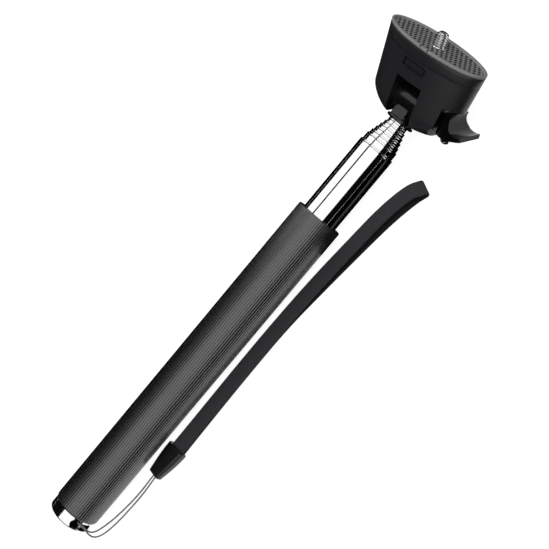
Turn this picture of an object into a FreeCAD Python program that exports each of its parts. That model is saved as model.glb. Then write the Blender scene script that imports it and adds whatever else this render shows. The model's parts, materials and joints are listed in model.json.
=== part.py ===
import FreeCAD, Part
import math
import os
import sys

# Telescopic hand-held stick with a tilting camera head, millimetres.
# Every rigid piece is drawn with the stick upright: Z runs from the end cap to the
# head, X points to the lever side and Y to the back. Head pieces are drawn about the
# tilt axis, with Z towards the pad. The finished stick is laid on its back: its
# length along +X, the lever side towards -Y and the front of the head upwards.

os.makedirs("parts", exist_ok=True)
doc = FreeCAD.newDocument("telescopic_stick")
sheet = doc.addObject("Spreadsheet::Sheet", "dims")

DIMENSIONS = [
    ("grip_diameter", 27.0),
    ("grip_start", 6.8),
    ("grip_finish", 215.0),
    ("grip_edge", 0.8),
    ("cap_diameter", 25.8),
    ("cap_skin", 1.1),
    ("cap_rounding", 1.0),
    ("slot_floor", 1.3),
    ("slot_height", 4.6),
    ("slot_width", 12.6),
    ("slot_depth", 5.6),
    ("slot_angle", 68.0),
    ("slot_rounding", 2.0),
    ("bar_diameter", 1.8),
    ("bar_angle", 76.0),
    ("bar_reach", 10.0),
    ("bar_end_gap", 0.1),
    ("plug_length", 18.0),
    ("tube_diameter", 20.9),
    ("tube_step", 1.55),
    ("tube_wall", 0.5),
    ("tube_count", 7),
    ("tube_finish", 261.4),
    ("second_rim", 4.4),
    ("rim_pitch", 2.56),
    ("crimp_length", 2.2),
    ("rim_rounding", 0.2),
    ("slide_travel", 170.0),
    ("bush_length", 12.0),
    ("running_gap", 0.04),
    ("flange_start", 278.9),
    ("flange_diameter", 16.2),
    ("flange_height", 1.6),
    ("neck_diameter", 12.0),
    ("insert_length", 20.0),
    ("insert_bore", 6.0),
    ("insert_floor", 3.0),
    ("small_rounding", 0.5),
    ("tilt_axis", 291.7),
    ("tilt_rest", 34.0),
    ("barrel_diameter", 13.0),
    ("barrel_width", 16.0),
    ("washer_height", 0.45),
    ("washer_diameter", 11.0),
    ("bolt_diameter", 4.0),
    ("bolt_hole", 4.2),
    ("head_wide", 31.9),
    ("head_deep", 12.85),
    ("head_top", 34.1),
    ("head_taper", 0.118),
    ("seam_level", 26.6),
    ("head_wall", 2.0),
    ("cover_top", 32.5),
    ("cover_plate", 1.8),
    ("pad_rim", 1.9),
    ("pad_recess", 0.7),
    ("channel_half", 8.5),
    ("channel_back", 7.3),
    ("channel_top", 14.4),
    ("chamber_floor", 16.6),
    ("notch_face", 18.6),
    ("notch_top", 11.4),
    ("stud_diameter", 6.35),
    ("stud_shoulder", 7.0),
    ("stud_top", 40.8),
    ("stud_head_flats", 11.1),
    ("stud_head_height", 3.4),
    ("stud_play", 0.2),
    ("stud_boss_radius", 8.4),
    ("retainer_thickness", 1.2),
    ("retainer_screw_radius", 0.9),
    ("retainer_screw_reach", 6.9),
    ("retainer_head_radius", 1.5),
    ("retainer_head_height", 0.9),
    ("screw_spacing", 42.0),
    ("screw_post_radius", 2.8),
    ("screw_radius", 1.1),
    ("screw_grip", 7.0),
    ("screw_hole_depth", 8.4),
    ("screw_head_radius", 2.1),
    ("screw_head_height", 1.1),
    ("screw_sink_radius", 2.2),
    ("screw_sink_depth", 1.4),
    ("nut_pocket_length", 9.5),
    ("nut_pocket_width", 9.6),
    ("nut_pocket_floor", 4.6),
    ("nut_wall", 3.0),
    ("nut_flats", 7.0),
    ("nut_height", 3.2),
    ("nut_gap", 0.45),
    ("pin_offset", 25.5),
    ("pin_diameter", 3.0),
    ("pin_head", 5.6),
    ("hub_radius", 6.3),
    ("lever_neck", 6.7),
    ("lever_neck_reach", 4.0),
    ("lever_tip", 38.6),
    ("lever_half_width", 8.6),
    ("lever_corner", 2.0),
    ("hub_bottom", -6.6),
    ("eye_radius", 3.4),
    ("eye_height", 4.8),
    ("fork_side_gap", 0.2),
    ("fork_end_gap", 0.5),
    ("bolt_tail", 17.0),
    ("lever_washer_radius", 5.2),
    ("pin_shaft", 14.0),
    ("pin_dome_radius", 3.6),
    ("pin_dome_height", 1.6),
    ("cord_diameter", 1.0),
    ("strap_width", 10.5),
    ("strap_thickness", 1.1),
    ("strap_gap", 3.0),
    ("clip_length", 20.0),
    ("clip_mouth", 11.8),
    ("clip_neck", 8.4),
    ("clip_height", 5.6),
    ("clip_neck_height", 4.8),
    ("clip_lean", 15.0),
    ("clip_rounding", 0.6),
]

for line, (name, value) in enumerate(DIMENSIONS, start=1):
    sheet.set("A%d" % line, name)
    sheet.set("B%d" % line, str(value))
    sheet.setAlias("B%d" % line, name)
doc.recompute()


def dim(name):
    """The value of a driving dimension."""
    return float(sheet.get(name))


V = FreeCAD.Vector
X_AXIS, Y_AXIS, Z_AXIS = V(1, 0, 0), V(0, 1, 0), V(0, 0, 1)
NEAR = 0.01  # two lengths closer than this are the same
MARGIN = 1.0  # how far a cutting tool stands past the surface that it cuts
SIDES = ((1, 1), (2, -1))
axis_height = dim("grip_diameter") / 2

# Laid down, the stick's Z becomes +X, its X becomes -Y and its Y becomes -Z.
LAID = FreeCAD.Placement(V(0, 0, axis_height), FreeCAD.Rotation(-Y_AXIS, -Z_AXIS, X_AXIS, "ZXY"))
TILTED = LAID.multiply(
    FreeCAD.Placement(V(0, 0, dim("tilt_axis")), FreeCAD.Rotation(X_AXIS, dim("tilt_rest"))))
AS_DRAWN = FreeCAD.Placement()

pieces = []


# ------------------------------------------------------------------ small helpers

def bind(thing, **expressions):
    """Ties properties of a feature to expressions over the sheet."""
    for prop, expression in expressions.items():
        thing.setExpression(prop, expression)
    return thing


def spot(thing, at=V(0, 0, 0), turn=FreeCAD.Rotation()):
    """Places a building block and returns it."""
    thing.Placement = FreeCAD.Placement(at, turn)
    return thing


def cylinder(name, radius, height, at=V(0, 0, 0), turn=FreeCAD.Rotation()):
    """A cylinder whose radius and height are expressions over the sheet."""
    thing = doc.addObject("Part::Cylinder", name)
    bind(thing, Radius=radius, Height=height)
    return spot(thing, at, turn)


def box(name, length, width, height, at, turn=FreeCAD.Rotation()):
    """A box whose three sides are expressions over the sheet."""
    thing = doc.addObject("Part::Box", name)
    bind(thing, Length=length, Width=width, Height=height)
    return spot(thing, at, turn)


def cut(name, base, tool):
    thing = doc.addObject("Part::Cut", name)
    thing.Base = base
    thing.Tool = tool
    return thing


def fuse(name, shapes):
    thing = doc.addObject("Part::MultiFuse", name)
    thing.Shapes = shapes
    thing.Refine = True
    return thing


def common(name, base, tool):
    thing = doc.addObject("Part::Common", name)
    thing.Base = base
    thing.Tool = tool
    return thing


def shaped(name, shape):
    """A feature whose shape comes from Part's own functions."""
    thing = doc.addObject("Part::Feature", name)
    thing.Shape = shape
    return thing


def edges_at(thing, test):
    """Numbers of the edges whose box centre passes a test."""
    return [n for n, edge in enumerate(thing.Shape.Edges, start=1) if test(edge.BoundBox.Center, edge)]


def rounded(name, base, radius, test):
    """A fillet on the edges that pass a test, or the base where none does."""
    doc.recompute()
    numbers = edges_at(base, test)
    thing = doc.addObject("Part::Fillet", name)
    thing.Base = base
    thing.Edges = [(n, radius, radius) for n in numbers]
    return thing


def bevelled(name, base, size, test):
    doc.recompute()
    numbers = edges_at(base, test)
    thing = doc.addObject("Part::Chamfer", name)
    thing.Base = base
    thing.Edges = [(n, size, size) for n in numbers]
    return thing


def piece(label, thing, place=LAID):
    """Registers a finished sub-part under its own name and place."""
    thing.Label = label
    pieces.append((thing, place))
    return thing


def ring(name, outer, inner, height, at):
    """A hollow cylinder from two expressions for its radii."""
    return cut(name, cylinder(name + "_outer", outer, height, at),
               cylinder(name + "_inner", inner, height, at))


def hexagon(name, flats, height, at, turn=FreeCAD.Rotation()):
    """A hexagonal prism given across its flats."""
    thing = doc.addObject("Part::Prism", name)
    thing.Polygon = 6
    bind(thing, Circumradius="%s / sqrt(3)" % flats, Height=height)
    return spot(thing, at, turn)


ALONG_X = FreeCAD.Rotation(Y_AXIS, 90)
ALONG_Y = FreeCAD.Rotation(X_AXIS, -90)


# ------------------------------------------------------------------ telescopic tubes

def tube_radius(number):
    return (dim("tube_diameter") - (number - 1) * dim("tube_step")) / 2


def tube_rim(number):
    """Height of a tube's top rim in the closed stick."""
    if number == 1:
        return dim("tube_finish")
    return dim("tube_finish") + dim("second_rim") + (number - 2) * dim("rim_pitch")


def tube_start(number):
    """A section stops when its bush meets the crimp of the tube around it."""
    if number == 1:
        return dim("grip_start")
    return tube_rim(number - 1) - dim("crimp_length") - dim("slide_travel") - dim("bush_length")


def make_tube(number):
    """One chromed tube, with its top rolled in round the next section."""
    radius = "(dims.tube_diameter - %d * dims.tube_step) / 2" % (number - 1)
    inner = radius + " - dims.tube_wall"
    length = tube_rim(number) - tube_start(number)
    name = "tube_%d" % number
    outside = doc.addObject("Part::Cylinder", name + "_outside")
    bind(outside, Radius=radius)
    outside.Height = length
    spot(outside, V(0, 0, tube_start(number)))
    bore = doc.addObject("Part::Cylinder", name + "_bore")
    bind(bore, Radius=inner)
    last = number == int(dim("tube_count"))
    bore.Height = length if last else length - dim("crimp_length")
    spot(bore, V(0, 0, tube_start(number)))
    body = cut(name + "_shell", outside, bore)
    if not last:
        mouth = doc.addObject("Part::Cylinder", name + "_mouth")
        bind(mouth, Radius="(dims.tube_diameter - %d * dims.tube_step) / 2 + dims.running_gap" % number)
        mouth.Height = length
        spot(mouth, V(0, 0, tube_start(number)))
        body = cut(name + "_crimped", body, mouth)
    rim = tube_rim(number)
    radius_value = tube_radius(number)
    piece(name, rounded(name, body, dim("rim_rounding"), lambda c, e: abs(c.z - rim) < NEAR
                        and abs(e.BoundBox.XLength - 2 * radius_value) < NEAR))


def make_bush(number):
    """The springy sleeve on a section's foot, which gives the slide its friction."""
    inner = "(dims.tube_diameter - %d * dims.tube_step) / 2" % (number - 1)
    bore = "(dims.tube_diameter - %d * dims.tube_step) / 2 - dims.tube_wall" % (number - 2)
    outer = bore + " - dims.running_gap"
    piece("friction_bush_%d" % number,
          ring("friction_bush_%d" % number, outer, inner, "dims.bush_length", V(0, 0, tube_start(number))))


for number in range(1, int(dim("tube_count")) + 1):
    make_tube(number)
for number in range(2, int(dim("tube_count")) + 1):
    make_bush(number)


# ------------------------------------------------------------------ grip and end cap

def make_grip():
    sleeve = ring("grip_sleeve_blank", "dims.grip_diameter / 2", "dims.tube_diameter / 2",
                  "dims.grip_finish - dims.grip_start", V(0, 0, dim("grip_start")))
    outer = dim("grip_diameter")
    piece("grip_sleeve", rounded("grip_sleeve", sleeve, dim("grip_edge"),
                                 lambda c, e: abs(e.BoundBox.XLength - outer) < NEAR
                                 and e.BoundBox.ZLength < NEAR))


def turned_about_stick(angle):
    """A direction across the stick, measured from its front towards the lever side."""
    return FreeCAD.Rotation(Z_AXIS, angle - 90)


def make_slot_tool():
    """The lanyard slot as a rounded bar that enters the cap from the side."""
    reach = dim("slot_depth") + 4 * MARGIN
    start = turned_about_stick(dim("slot_angle")).multVec(
        V(dim("cap_diameter") / 2 - dim("slot_depth"), -dim("slot_width") / 2, dim("slot_floor")))
    bar = box("slot_bar", "dims.slot_depth + 4", "dims.slot_width", "dims.slot_height", start,
              turned_about_stick(dim("slot_angle")))
    return rounded("slot_tool", bar, dim("slot_rounding"),
                   lambda c, e: abs(e.Length - reach) < NEAR)


def make_end_cap():
    cup = cut("end_cap_cup", cylinder("end_cap_outer", "dims.cap_diameter / 2", "dims.grip_start"),
              cylinder("end_cap_inner", "dims.cap_diameter / 2 - dims.cap_skin", "dims.grip_start",
                       V(0, 0, dim("cap_skin"))))
    foot = rounded("end_cap_foot", cup, dim("cap_rounding"),
                   lambda c, e: abs(c.z) < NEAR and e.BoundBox.ZLength < NEAR)
    piece("end_cap", cut("end_cap", foot, make_slot_tool()))


def bar_centre():
    turn = turned_about_stick(dim("bar_angle"))
    return turn.multVec(V(dim("bar_reach"), 0, 0))


def make_cap_core():
    """The moulded core that joins the cap to the first tube and holds the lanyard bar."""
    wide = cylinder("cap_core_wide", "dims.cap_diameter / 2 - dims.cap_skin",
                    "dims.grip_start - dims.cap_skin", V(0, 0, dim("cap_skin")))
    spigot = cylinder("cap_core_spigot", "dims.tube_diameter / 2 - dims.tube_wall", "dims.plug_length",
                      V(0, 0, dim("grip_start")))
    hollow = cylinder("cap_core_hollow", "dims.tube_diameter / 2 - 4 * dims.tube_wall",
                      "dims.plug_length", V(0, 0, dim("grip_start") + dim("insert_floor")))
    blank = cut("cap_core_blank", fuse("cap_core_whole", [wide, spigot]), hollow)
    slotted = cut("cap_core_slotted", blank, make_slot_tool())
    bar_length = "dims.grip_start - dims.cap_skin - dims.bar_end_gap"
    foot = bar_centre() + V(0, 0, dim("cap_skin"))
    hole = cylinder("cap_core_hole", "dims.bar_diameter / 2", bar_length, foot)
    piece("cap_core", cut("cap_core", slotted, hole))
    bar = cylinder("lanyard_bar_blank", "dims.bar_diameter / 2", bar_length, foot)
    piece("lanyard_bar", bevelled("lanyard_bar", bar, dim("bar_end_gap"),
                                  lambda c, e: e.BoundBox.ZLength < NEAR))


make_grip()
make_end_cap()
make_cap_core()


# ------------------------------------------------------------------ knuckle

def make_knuckle():
    """Insert, flange, neck and cross barrel in one moulding."""
    flange_top = dim("flange_start") + dim("flange_height")
    inner_tube = "(dims.tube_diameter - (dims.tube_count - 1) * dims.tube_step) / 2 - dims.tube_wall"
    insert = cylinder("knuckle_insert", inner_tube + " - dims.running_gap", "dims.insert_length",
                      V(0, 0, dim("flange_start") - dim("insert_length")))
    flange = cylinder("knuckle_flange", "dims.flange_diameter / 2", "dims.flange_height",
                      V(0, 0, dim("flange_start")))
    disc = rounded("knuckle_disc", flange, dim("small_rounding"), lambda c, e: e.BoundBox.ZLength < NEAR)
    neck = cylinder("knuckle_neck", "dims.neck_diameter / 2",
                    "dims.tilt_axis - dims.flange_start - dims.flange_height", V(0, 0, flange_top))
    barrel = cylinder("knuckle_barrel", "dims.barrel_diameter / 2", "dims.barrel_width",
                      V(-dim("barrel_width") / 2, 0, dim("tilt_axis")), ALONG_X)
    edge = rounded("knuckle_barrel_edge", barrel, dim("small_rounding"),
                   lambda c, e: e.BoundBox.XLength < NEAR)
    whole = fuse("knuckle_whole", [insert, disc, neck, edge])
    bore = cylinder("knuckle_bore", "dims.bolt_hole / 2", "dims.barrel_width + 2",
                    V(-dim("barrel_width") / 2 - MARGIN, 0, dim("tilt_axis")), ALONG_X)
    core = cylinder("knuckle_core", "dims.insert_bore / 2", "dims.insert_length - dims.insert_floor",
                    V(0, 0, dim("flange_start") - dim("insert_length") - MARGIN))
    piece("knuckle", cut("knuckle", cut("knuckle_bored", whole, bore), core))


make_knuckle()


# ------------------------------------------------------------------ head

def oval(name, level, wide, deep):
    """An ellipse across the head at a level above the tilt axis."""
    thing = doc.addObject("Part::Ellipse", name)
    thing.MajorRadius = wide
    thing.MinorRadius = deep
    return spot(thing, V(0, 0, level))


def head_size(level, inset=0.0):
    """Half width and half depth of the head, which narrows away from the pad."""
    below = (dim("head_top") - level) * dim("head_taper")
    return dim("head_wide") - below - inset, dim("head_deep") - inset


def oval_loft(name, levels, inset=0.0, ruled=False):
    """A solid through ovals; each level has a share of the width and depth that it keeps."""
    sections = []
    for n, (level, share_wide, share_deep) in enumerate(levels):
        wide, deep = head_size(level, inset)
        sections.append(oval("%s_oval_%d" % (name, n), level, wide * share_wide, deep * share_deep))
    thing = doc.addObject("Part::Loft", name)
    thing.Sections = sections
    thing.Solid = True
    thing.Ruled = ruled
    return thing


# The rounded foot below the head: level, share of the width and share of the depth.
HEAD_FOOT = [(-7.9, 0.66, 0.8), (-7.1, 0.745, 0.89), (-5.2, 0.845, 0.953), (-2.4, 0.945, 0.985), (1.0, 1, 1)]


def make_head_body():
    """The housing: a channel for the barrel, a notch for the lever, a chamber under the cover."""
    crown = oval_loft("head_crown", [(HEAD_FOOT[-1][0], 1, 1), (dim("seam_level"), 1, 1)])
    solid = fuse("head_solid", [crown, oval_loft("head_foot", HEAD_FOOT, ruled=True)])
    chamber = oval_loft("head_chamber", [(dim("chamber_floor"), 1, 1), (dim("seam_level") + MARGIN, 1, 1)],
                        inset=dim("head_wall"))
    below = HEAD_FOOT[0][0] - MARGIN
    ahead = -dim("head_deep") - MARGIN
    channel = box("head_channel", "2 * dims.channel_half", "dims.channel_back + dims.head_deep + 1",
                  "dims.channel_top - (%g)" % below, V(-dim("channel_half"), ahead, below))
    notch = box("head_notch", "dims.head_wide", "2 * (dims.head_deep + 1)",
                "dims.notch_top - (%g)" % below, V(dim("notch_face"), ahead, below))
    wall_face = -dim("channel_half") - dim("nut_wall")
    pocket = box("head_pocket", "dims.nut_pocket_length", "dims.nut_pocket_width",
                 "dims.seam_level + dims.nut_pocket_floor",
                 V(wall_face - dim("nut_pocket_length"), -dim("nut_pocket_width") / 2,
                   -dim("nut_pocket_floor")))
    bore = cylinder("head_bore", "dims.bolt_hole / 2",
                    "dims.notch_face + dims.channel_half + dims.nut_wall + 2",
                    V(wall_face - MARGIN, 0, 0), ALONG_X)
    shell = cut("head_shell", solid, fuse("head_hollow", [chamber, channel, notch, pocket, bore]))
    posts = []
    holes = []
    for n, side in SIDES:
        middle = V(side * dim("screw_spacing") / 2, 0, 0)
        posts.append(cylinder("head_post_%d" % n, "dims.screw_post_radius",
                              "dims.seam_level - dims.chamber_floor + 1",
                              middle + V(0, 0, dim("chamber_floor") - MARGIN)))
        holes.append(cylinder("head_post_hole_%d" % n, "dims.screw_radius", "dims.screw_hole_depth + 1",
                              middle + V(0, 0, dim("seam_level") - dim("screw_hole_depth"))))
    posted = fuse("head_posted", [shell] + posts)
    piece("head_body", cut("head_body", posted, fuse("head_post_holes", holes)), TILTED)


def make_head_cover():
    """The rim and top plate, with a hexagonal pocket for the stud's head below it."""
    seam, top = dim("seam_level"), dim("cover_top")
    solid = oval_loft("cover_solid", [(seam, 1, 1), (top, 1, 1)])
    under = top - dim("cover_plate")
    cavity = oval_loft("cover_cavity", [(seam - MARGIN, 1, 1), (under, 1, 1)], inset=dim("head_wall"))
    shell = cut("cover_shell", solid, cavity)
    boss = cylinder("cover_boss", "dims.stud_boss_radius", "dims.stud_head_height + dims.stud_play",
                    V(0, 0, under - dim("stud_head_height") - dim("stud_play")))
    posts = []
    openings = [
        hexagon("cover_hexagon", "dims.stud_head_flats", "dims.stud_head_height + 1",
                V(0, 0, under - dim("stud_head_height") - MARGIN)),
        cylinder("cover_hole", "dims.stud_shoulder / 2", "dims.cover_plate + 2", V(0, 0, under - MARGIN)),
    ]
    for n, side in SIDES:
        middle = V(side * dim("screw_spacing") / 2, 0, 0)
        posts.append(cylinder("cover_post_%d" % n, "dims.screw_post_radius",
                              "dims.cover_top - dims.cover_plate - dims.seam_level", middle + V(0, 0, seam)))
        openings.append(cylinder("cover_screw_hole_%d" % n, "dims.screw_radius",
                                 "dims.cover_top - dims.seam_level + 2", middle + V(0, 0, seam - MARGIN)))
        openings.append(cylinder("cover_screw_sink_%d" % n, "dims.screw_sink_radius",
                                 "dims.screw_sink_depth + 1",
                                 middle + V(0, 0, top - dim("screw_sink_depth"))))
    body = fuse("cover_body", [shell, boss] + posts)
    piece("head_cover", cut("head_cover", body, fuse("cover_openings", openings)), TILTED)


def make_rubber_pad():
    """A thin pad with a raised rim round a recessed face."""
    low, top = dim("cover_top"), dim("head_top")
    slab = oval_loft("pad_slab", [(low, 1, 1), (top, 1, 1)])
    face = top - dim("pad_recess")
    dish = oval_loft("pad_dish", [(face, 1, 1), (top + MARGIN, 1, 1)], inset=dim("pad_rim"))
    hole = cylinder("pad_hole", "dims.stud_shoulder / 2", "dims.head_top - dims.cover_top + 2",
                    V(0, 0, low - MARGIN))
    piece("rubber_pad", cut("rubber_pad", cut("pad_dished", slab, dish), hole), TILTED)


def make_camera_stud():
    """Standard quarter-inch camera screw, its head captive under the cover."""
    under = dim("cover_top") - dim("cover_plate")
    shank = cylinder("stud_shank", "dims.stud_diameter / 2",
                     "dims.stud_top - dims.cover_top + dims.cover_plate", V(0, 0, under))
    shoulder = cylinder("stud_shoulder", "dims.stud_shoulder / 2",
                        "dims.head_top - dims.pad_recess - dims.cover_top + dims.cover_plate",
                        V(0, 0, under))
    tip = bevelled("stud_tip", shank, dim("small_rounding"), lambda c, e: c.z > dim("stud_top") - NEAR)
    head = hexagon("stud_head", "dims.stud_head_flats", "dims.stud_head_height",
                   V(0, 0, under - dim("stud_head_height")))
    piece("camera_stud", fuse("camera_stud", [tip, shoulder, head]), TILTED)
    low = under - dim("stud_head_height") - dim("stud_play") - dim("retainer_thickness")
    plate = cylinder("retainer_plate", "dims.stud_boss_radius", "dims.retainer_thickness", V(0, 0, low))
    holes = []
    screws = []
    for n, side in SIDES:
        middle = V(0, side * dim("retainer_screw_reach"), low)
        holes.append(cylinder("retainer_hole_%d" % n, "dims.retainer_screw_radius",
                              "dims.retainer_thickness + 2", middle - V(0, 0, MARGIN)))
        screws.append(cylinder("retainer_screw_%d" % n, "dims.retainer_screw_radius",
                               "dims.retainer_thickness", middle))
        screws.append(cylinder("retainer_screw_head_%d" % n, "dims.retainer_head_radius",
                               "dims.retainer_head_height", middle - V(0, 0, dim("retainer_head_height"))))
    piece("stud_retainer", cut("stud_retainer", plate, fuse("retainer_holes", holes)), TILTED)
    piece("retainer_screws", fuse("retainer_screws", screws), TILTED)


def make_cover_screws():
    """Two screws under the pad hold the cover to the body."""
    solids = []
    for n, side in SIDES:
        middle = V(side * dim("screw_spacing") / 2, 0, 0)
        solids.append(cylinder("cover_screw_%d" % n, "dims.screw_radius",
                               "dims.cover_top - dims.screw_sink_depth - dims.seam_level + dims.screw_grip",
                               middle + V(0, 0, dim("seam_level") - dim("screw_grip"))))
        solids.append(cylinder("cover_screw_head_%d" % n, "dims.screw_head_radius", "dims.screw_head_height",
                               middle + V(0, 0, dim("cover_top") - dim("screw_sink_depth"))))
    piece("cover_screws", fuse("cover_screws", solids), TILTED)


def washer(name, radius, left):
    """A washer on the tilt axis, from its left face."""
    at = V(left, 0, 0)
    disc = cylinder(name + "_disc", radius, "dims.washer_height", at, ALONG_X)
    hole = cylinder(name + "_hole", "dims.bolt_hole / 2", "dims.washer_height", at, ALONG_X)
    return cut(name, disc, hole)


def make_friction_washers():
    """Two washers between the barrel and the walls of the head's channel."""
    solids = []
    for n, left in ((1, dim("channel_half") - dim("washer_height")), (2, -dim("channel_half"))):
        solids.append(washer("friction_washer_%d" % n, "dims.washer_diameter / 2", left))
    piece("friction_washers", fuse("friction_washers", solids), TILTED)


make_head_body()
make_head_cover()
make_rubber_pad()
make_camera_stud()
make_cover_screws()
make_friction_washers()


# ------------------------------------------------------------------ clamp bolt and lever

def make_clamp_bolt():
    """Eye bolt along the tilt axis; its eye sits in the lever's fork."""
    shank = cylinder("clamp_bolt_shank", "dims.bolt_diameter / 2", "dims.pin_offset + dims.bolt_tail",
                     V(-dim("bolt_tail"), 0, 0), ALONG_X)
    eye_foot = V(dim("pin_offset"), 0, -dim("eye_height") / 2)
    eye = cylinder("clamp_bolt_eye", "dims.eye_radius", "dims.eye_height", eye_foot)
    hole = cylinder("clamp_bolt_hole", "dims.pin_diameter / 2 + dims.running_gap", "dims.eye_height + 2",
                    eye_foot - V(0, 0, MARGIN))
    piece("clamp_bolt", cut("clamp_bolt", fuse("clamp_bolt_whole", [shank, eye]), hole), TILTED)
    face = V(-dim("channel_half") - dim("nut_wall") - dim("nut_gap") - dim("nut_height"), 0, 0)
    blank = hexagon("clamp_nut_blank", "dims.nut_flats", "dims.nut_height", face, ALONG_X)
    bore = cylinder("clamp_nut_bore", "dims.bolt_diameter / 2", "dims.nut_height", face, ALONG_X)
    piece("clamp_nut", cut("clamp_nut", blank, bore), TILTED)
    piece("lever_washer", washer("lever_washer", "dims.lever_washer_radius", dim("notch_face")), TILTED)


def lever_profile():
    """The lever seen from the front: hub, hollow thumb rest and turned-up lip."""
    corners = {
        "hub_low": (19.0, -4.6), "hub_high": (18.9, 4.6), "brow_start": (19.9, 6.4),
        "brow": (25.4, 10.7), "rest_top": (27.0, 10.7), "rest_side": (25.9, 5.6),
        "rest_floor": (29.4, 2.2), "lip": (37.6, 3.9), "tip": (38.5, 1.8), "belly": (32.2, -1.6),
        "heel": (30.2, -6.6), "foot": (21.0, -6.6),
    }
    point = {name: V(x, 0, z) for name, (x, z) in corners.items()}
    edges = [
        Part.LineSegment(point["hub_low"], point["hub_high"]).toShape(),
        Part.LineSegment(point["hub_high"], point["brow_start"]).toShape(),
        Part.LineSegment(point["brow_start"], point["brow"]).toShape(),
        Part.LineSegment(point["brow"], point["rest_top"]).toShape(),
        Part.Arc(point["rest_top"], point["rest_side"], point["rest_floor"]).toShape(),
        Part.Arc(point["rest_floor"], V(33.6, 0, 2.5), point["lip"]).toShape(),
        Part.LineSegment(point["lip"], point["tip"]).toShape(),
        Part.LineSegment(point["tip"], point["belly"]).toShape(),
        Part.LineSegment(point["belly"], point["heel"]).toShape(),
        Part.LineSegment(point["heel"], point["foot"]).toShape(),
        Part.LineSegment(point["foot"], point["hub_low"]).toShape(),
    ]
    return Part.Face(Part.Wire(edges))


def lever_plan():
    """The lever seen from above: a round hub that widens to the lip."""
    radius, centre = dim("hub_radius"), dim("pin_offset")
    far, lip, corner = dim("lever_half_width"), dim("lever_tip"), dim("lever_corner")
    neck = centre + dim("lever_neck_reach")
    inset = corner * (1 - math.sqrt(0.5))
    half = [(centre, radius), (neck, dim("lever_neck")), (lip - corner, far), (lip - inset, far - inset),
            (lip, far - corner)]
    back = [V(x, y, 0) for x, y in half]
    front = [V(x, -y, 0) for x, y in half]
    edges = [
        Part.Arc(front[0], V(centre - radius, 0, 0), back[0]).toShape(),
        Part.LineSegment(back[0], back[1]).toShape(),
        Part.LineSegment(back[1], back[2]).toShape(),
        Part.Arc(back[2], back[3], back[4]).toShape(),
        Part.LineSegment(back[4], front[4]).toShape(),
        Part.Arc(front[4], front[3], front[2]).toShape(),
        Part.LineSegment(front[2], front[1]).toShape(),
        Part.LineSegment(front[1], front[0]).toShape(),
    ]
    return Part.Face(Part.Wire(edges))


def prism(name, face, start, direction, length):
    """A face pushed from a starting point along a direction."""
    view = shaped(name + "_view", face)
    view.Placement = FreeCAD.Placement(start, FreeCAD.Rotation())
    thing = doc.addObject("Part::Extrusion", name)
    thing.Base = view
    thing.DirMode = "Custom"
    thing.Dir = direction
    thing.LengthFwd = length
    thing.Solid = True
    return thing


def make_lever():
    """The lever is where its side view and its plan meet, forked round the bolt's eye."""
    wide = dim("lever_half_width") + MARGIN
    tall = dim("head_deep")
    profile = prism("lever_profile", lever_profile(), V(0, -wide, 0), Y_AXIS, 2 * wide)
    plan = prism("lever_plan", lever_plan(), V(0, 0, -tall), Z_AXIS, 2 * tall)
    blank = common("lever_blank", profile, plan)
    pin_at = dim("pin_offset")
    reach = dim("eye_radius") + dim("fork_end_gap")
    fork_height = "dims.eye_height + 2 * dims.fork_side_gap"
    fork_floor = -dim("eye_height") / 2 - dim("fork_side_gap")
    hub_side = V(pin_at - dim("hub_radius") - MARGIN, -reach, fork_floor)
    fork_side = box("lever_fork_side", "dims.hub_radius + 1 + dims.eye_radius + dims.fork_end_gap",
                    "2 * (dims.eye_radius + dims.fork_end_gap)", fork_height, hub_side)
    fork_back = box("lever_fork_back", "dims.hub_radius + 1 + dims.eye_radius + dims.fork_end_gap",
                    "dims.eye_radius + dims.fork_end_gap + dims.hub_radius + 1", fork_height, hub_side)
    pin_hole = cylinder("lever_pin_hole", "dims.pin_diameter / 2", "2 * dims.head_deep", V(pin_at, 0, -tall))
    openings = fuse("lever_openings", [fork_side, fork_back, pin_hole])
    piece("lever", cut("lever", blank, openings), TILTED)
    foot = V(pin_at, 0, dim("hub_bottom"))
    shaft = cylinder("lever_pin_shaft", "dims.pin_diameter / 2", "dims.pin_shaft", foot)
    ball = doc.addObject("Part::Sphere", "lever_pin_ball")
    bind(ball, Radius="dims.pin_dome_radius")
    spot(ball, foot + V(0, 0, dim("pin_dome_radius") - dim("pin_dome_height")))
    skirt = cylinder("lever_pin_skirt", "dims.pin_head / 2", "dims.pin_dome_radius",
                     foot - V(0, 0, dim("pin_dome_radius")))
    piece("lever_pin", fuse("lever_pin", [shaft, common("lever_pin_dome", ball, skirt)]), TILTED)


make_clamp_bolt()
make_lever()


# ------------------------------------------------------------------ lanyard and strap
# These lie on the table, so they are drawn as they lie: along the stick from the end
# cap, distance out from its axis on the lever side (as -Y), and height above the table.

CORD_ROUTE = [
    (50.5, 18.4, 4.4), (44.5, 17.9, 3.2), (37.5, 17.5, 1.6), (29.5, 17.0, 1.1), (22.0, 16.6, 1.6),
    (15.0, 16.3, 2.9), (9.0, 15.9, 4.9), (4.6, 15.5, 7.4), (2.4, 14.6, 10.2), (2.6, 12.7, 12.9),
    (3.2, 10.6, 14.0), (3.7, 8.6, 14.9), (3.8, 8.0, 16.4), (3.9, 8.6, 17.7), (4.0, 10.0, 18.1),
    (4.1, 11.6, 17.4), (3.6, 13.2, 15.6), (2.0, 15.6, 12.6), (1.6, 17.4, 9.2), (4.4, 18.7, 6.2),
    (9.6, 19.1, 4.0), (16.0, 19.2, 2.5), (23.0, 19.1, 1.5), (30.5, 19.1, 1.1), (38.0, 19.4, 1.7),
    (44.5, 19.7, 3.2), (50.5, 19.9, 4.4),
]


def laid_point(along, side, height):
    return V(along, -side, height)


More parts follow.
